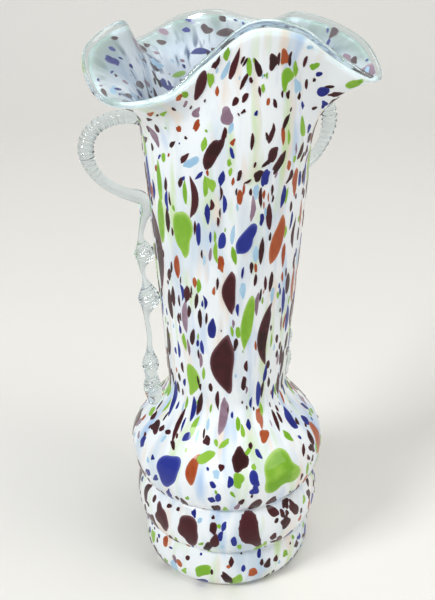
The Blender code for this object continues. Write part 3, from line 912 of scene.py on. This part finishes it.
def build_chips(size, colours):
    """All the chips on the outside, a mesh for each colour's large, medium and small ones, and
    those that show inside the mouth. Each colour lies at its own level, a few hundredths of a
    millimetre from the next, so that chips which overlap stay clean."""
    skin = Skin(size)
    large = {}
    for name, rows in LARGE_CHIPS.items():
        large[name] = [
            (math.radians(degrees), float(skin.along_at_height(height * MM)), length * MM,
             width * MM, math.radians(lean))
            for degrees, height, length, width, lean in rows
        ]
    taken = [row for rows in large.values() for row in rows]
    small = scatter(skin, taken, SMALL_CHIPS, SCATTER_SEED, LOWEST_CHIP)
    inner = scatter(skin, (), INNER_CHIPS, SCATTER_SEED + 1, skin.neck_at - INSIDE_REACH, 0.6)
    for number, name in enumerate(SMALL_CHIPS):
        glass = chip_glass(colours, name)
        level = (FIRST_LEVEL + LEVEL_STEP * (len(SMALL_CHIPS) - 1 - number)) * MM
        seed = SCATTER_SEED + number
        nodes = [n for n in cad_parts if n.startswith("chip_" + name)]
        if nodes:
            piece = chip_mesh(name + "_chips_large", size, large[name], *FINE, glass, seed, level)
            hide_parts(*nodes)
        for suffix, rows, made_of, inside in (
            ("", small[name], glass, False),
            ("_inside", inner.get(name, []), chip_glass(colours, name, INNER_VEIL), True),
        ):
            broad = [row for row in rows if row[3] > BROAD_CHIP]
            tiny = [row for row in rows if row[3] <= BROAD_CHIP]
            for kind, chosen, facets in (("_medium", broad, MIDDLING), ("_small", tiny, COARSE)):
                if chosen:
                    chip_mesh(name + "_chips" + kind + suffix, size, chosen, *facets, made_of,
                              seed, level, inside)


# ---------------------------------------------------------------- stage

# The camera: lens and sensor in millimetres, sideways shift, place in metres, downward pitch.
CAMERA_LENS, SENSOR = 59.94, 36.0
CAMERA_SHIFT = -0.0158
CAMERA_PLACE = (0.0, -0.450, 0.388)
CAMERA_PITCH = 27.5


def build_stage(colours):
    """A pale seamless floor that curves up behind, a soft world, two soft lamps and the
    camera."""
    across = np.linspace(-3, 3, 49)
    out = np.linspace(0, 1, 81)
    back = np.where(out < 0.5, out * 4 - 1.2, 0.8 + 0.6 * np.sin((out - 0.5) * math.pi))
    up = np.where(out < 0.5, 0.0, 0.6 * (1 - np.cos((out - 0.5) * math.pi)))
    up = np.where(out > 0.98, up + 2.0, up)
    x, y = np.meshgrid(across, back)
    z = np.repeat(up[:, None], len(across), axis=1)
    points = np.stack((x, y, z), -1).reshape(-1, 3)
    rows, columns = len(out), len(across)
    low = np.arange(rows - 1)[:, None] * columns + np.arange(columns - 1)
    quads = np.stack((low, low + 1, low + columns + 1, low + columns), -1).reshape(-1, 4)
    made, tree, node_out = new_material("matt_paper_floor")
    place = add(tree, "ShaderNodeTexCoord").outputs["Object"]
    grain = add(tree, "ShaderNodeTexNoise", inputs={"Vector": place, "Scale": 900.0}).outputs[0]
    light = tuple(c * 0.985 for c in colours.floor[:3])
    tone = mixed(tree, grain, rgba(light), rgba(colours.floor))
    shader = add(tree, "ShaderNodeBsdfPrincipled", inputs={"Base Color": tone, "Roughness": 0.6})
    tree.links.new(shader.outputs[0], node_out.inputs["Surface"])
    mesh = bpy.data.meshes.new("floor")
    mesh.from_pydata(points.tolist(), [], quads.tolist())
    mesh.shade_smooth()
    mesh.materials.append(made)
    floor = bpy.data.objects.new("floor", mesh)
    bpy.context.scene.collection.objects.link(floor)

    world = bpy.data.worlds.new("soft_room")
    world.use_nodes = True
    tree = world.node_tree
    tree.nodes.clear()
    light = add(tree, "ShaderNodeBackground", inputs={"Color": (0.80, 0.86, 0.95, 1),
                                                      "Strength": 0.33})
    wall = add(tree, "ShaderNodeBackground", inputs={"Color": (0.80, 0.79, 0.77, 1),
                                                     "Strength": 1.0})
    # The room's pale wall is what the camera sees, directly, in gloss or through glass.
    path = add(tree, "ShaderNodeLightPath").outputs
    seen = add(tree, "ShaderNodeMath", {"operation": "MAXIMUM"},
               {0: path["Is Camera Ray"], 1: path["Is Transmission Ray"]})
    seen = add(tree, "ShaderNodeMath", {"operation": "MAXIMUM"},
               {0: seen.outputs[0], 1: path["Is Glossy Ray"]})
    both = add(tree, "ShaderNodeMixShader",
               inputs={0: seen.outputs[0], 1: light.outputs[0], 2: wall.outputs[0]})
    add(tree, "ShaderNodeOutputWorld", inputs={"Surface": both.outputs[0]})
    bpy.context.scene.world = world
    for name, place, aim, power, width, tint in (
        ("window", (-1.1, -0.9, 1.3), (0, 0, 0.15), 21, 0.55, (0.95, 0.98, 1.0)),
        ("ceiling", (0.5, -0.2, 1.8), (0, 0, 0.1), 15, 1.2, (1.0, 0.99, 0.96)),
        ("fill", (1.3, -0.8, 0.7), (0, 0, 0.15), 6, 0.7, (1.0, 0.98, 0.95)),
    ):
        lamp = bpy.data.lights.new(name, "AREA")
        lamp.energy, lamp.size, lamp.color = power, width, tint
        shown = bpy.data.objects.new(name, lamp)
        bpy.context.scene.collection.objects.link(shown)
        shown.location = place
        toward = np.array(aim) - np.array(place)
        shown.rotation_euler = look(toward)

    camera = bpy.data.cameras.new("camera")
    camera.lens = CAMERA_LENS
    camera.sensor_width = SENSOR
    camera.shift_x = CAMERA_SHIFT
    camera.clip_start = 0.01
    seen = bpy.data.objects.new("camera", camera)
    bpy.context.scene.collection.objects.link(seen)
    seen.location = CAMERA_PLACE
    seen.rotation_euler = (math.radians(90 - CAMERA_PITCH), 0.0, 0.0)
    scene = bpy.context.scene
    scene.camera = seen
    scene.view_settings.view_transform = "Standard"


def look(toward):
    """Rotation that points an object's -Z along a direction."""
    return Vector(toward).to_track_quat("-Z", "Y").to_euler()


# ---------------------------------------------------------------- add-on


class VASE_OT_vessel(bpy.types.Operator):
    """Builds the opal vessel"""

    bl_idname = "vase.vessel"
    bl_label = "Vessel"

    def execute(self, context):
        build_vessel(context.scene.vase_sizes, context.scene.vase_colours)
        return {"FINISHED"}


class VASE_OT_lip(bpy.types.Operator):
    """Builds the clear lip"""

    bl_idname = "vase.lip"
    bl_label = "Lip"

    def execute(self, context):
        build_lip(context.scene.vase_sizes, context.scene.vase_colours)
        return {"FINISHED"}


class VASE_OT_chips(bpy.types.Operator):
    """Builds the coloured chips"""

    bl_idname = "vase.chips"
    bl_label = "Colour chips"

    def execute(self, context):
        build_chips(context.scene.vase_sizes, context.scene.vase_colours)
        return {"FINISHED"}


class VASE_OT_handles(bpy.types.Operator):
    """Builds both handles with their trails"""

    bl_idname = "vase.handles"
    bl_label = "Handles"

    def execute(self, context):
        sizes, colours = context.scene.vase_sizes, context.scene.vase_colours
        build_handle("left_handle", sizes, colours, sizes.left_azimuth)
        build_handle("right_handle", sizes, colours, sizes.right_azimuth)
        return {"FINISHED"}


class VASE_OT_stage(bpy.types.Operator):
    """Builds the floor, the light and the camera"""

    bl_idname = "vase.stage"
    bl_label = "Stage"

    def execute(self, context):
        build_stage(context.scene.vase_colours)
        return {"FINISHED"}


OPERATORS = (VASE_OT_vessel, VASE_OT_lip, VASE_OT_chips, VASE_OT_handles, VASE_OT_stage)


class VASE_PT_panel(bpy.types.Panel):
    """Sizes, colours and pieces of the vase"""

    bl_label = "Art Glass Vase"
    bl_idname = "VASE_PT_panel"
    bl_space_type = "VIEW_3D"
    bl_region_type = "UI"
    bl_category = "Vase"

    def draw(self, context):
        for group in (context.scene.vase_sizes, context.scene.vase_colours):
            for name in group.__annotations__:
                self.layout.prop(group, name)
        for kind in OPERATORS:
            self.layout.operator(kind.bl_idname)


CLASSES = (VaseSizes, VaseColours, *OPERATORS, VASE_PT_panel)


def register():
    for kind in CLASSES:
        bpy.utils.register_class(kind)
    bpy.types.Scene.vase_sizes = bpy.props.PointerProperty(type=VaseSizes)
    bpy.types.Scene.vase_colours = bpy.props.PointerProperty(type=VaseColours)


def unregister():
    del bpy.types.Scene.vase_colours
    del bpy.types.Scene.vase_sizes
    for kind in reversed(CLASSES):
        bpy.utils.unregister_class(kind)


def main():
    register()
    bpy.ops.vase.vessel()
    bpy.ops.vase.lip()
    bpy.ops.vase.chips()
    bpy.ops.vase.handles()
    bpy.ops.vase.stage()


if __name__ == "__main__":
    main()
